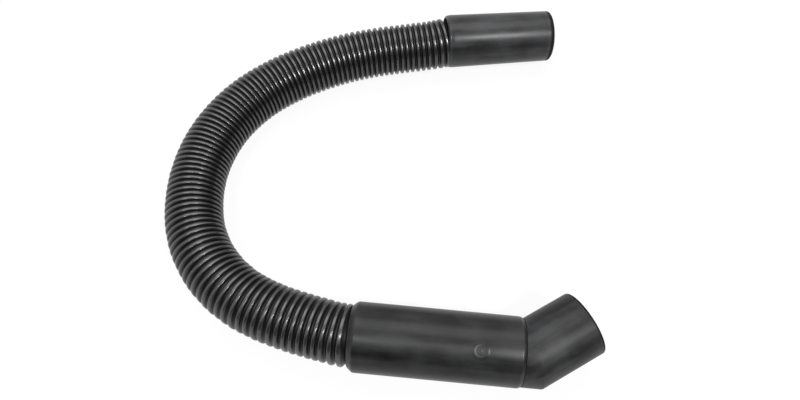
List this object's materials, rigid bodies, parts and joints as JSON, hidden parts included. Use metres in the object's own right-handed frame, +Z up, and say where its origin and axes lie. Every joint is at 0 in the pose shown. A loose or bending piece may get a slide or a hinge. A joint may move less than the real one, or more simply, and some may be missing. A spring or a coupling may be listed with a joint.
{
  "type": "vacuum suction hose",
  "caption": "Ribbed flexible suction hose bent in a wide U, with a straight cuff for a wand on one end and a longer barrel cuff with a mitred elbow on the other.",
  "frame": {"origin": "on the floor, under the middle of the part's bounding box", "axes": "+X is the way the straight cuff points, +Y is from the barrel cuff's side towards the straight cuff's, +Z is up from the floor the hose lies on"},
  "size_m": [0.3497, 0.3518, 0.0542],
  "materials": {
    "hose_plastic": "near-black blow-moulded ribs with a satin sheen",
    "cuff_plastic": "charcoal black moulded plastic, finely satin"
  },
  "bodies": {
    "root": {"corrugated_hose": "hose_plastic", "straight_cuff": "cuff_plastic", "cuff_barrel": "cuff_plastic", "elbow": "cuff_plastic"}
  },
  "joints": []
}
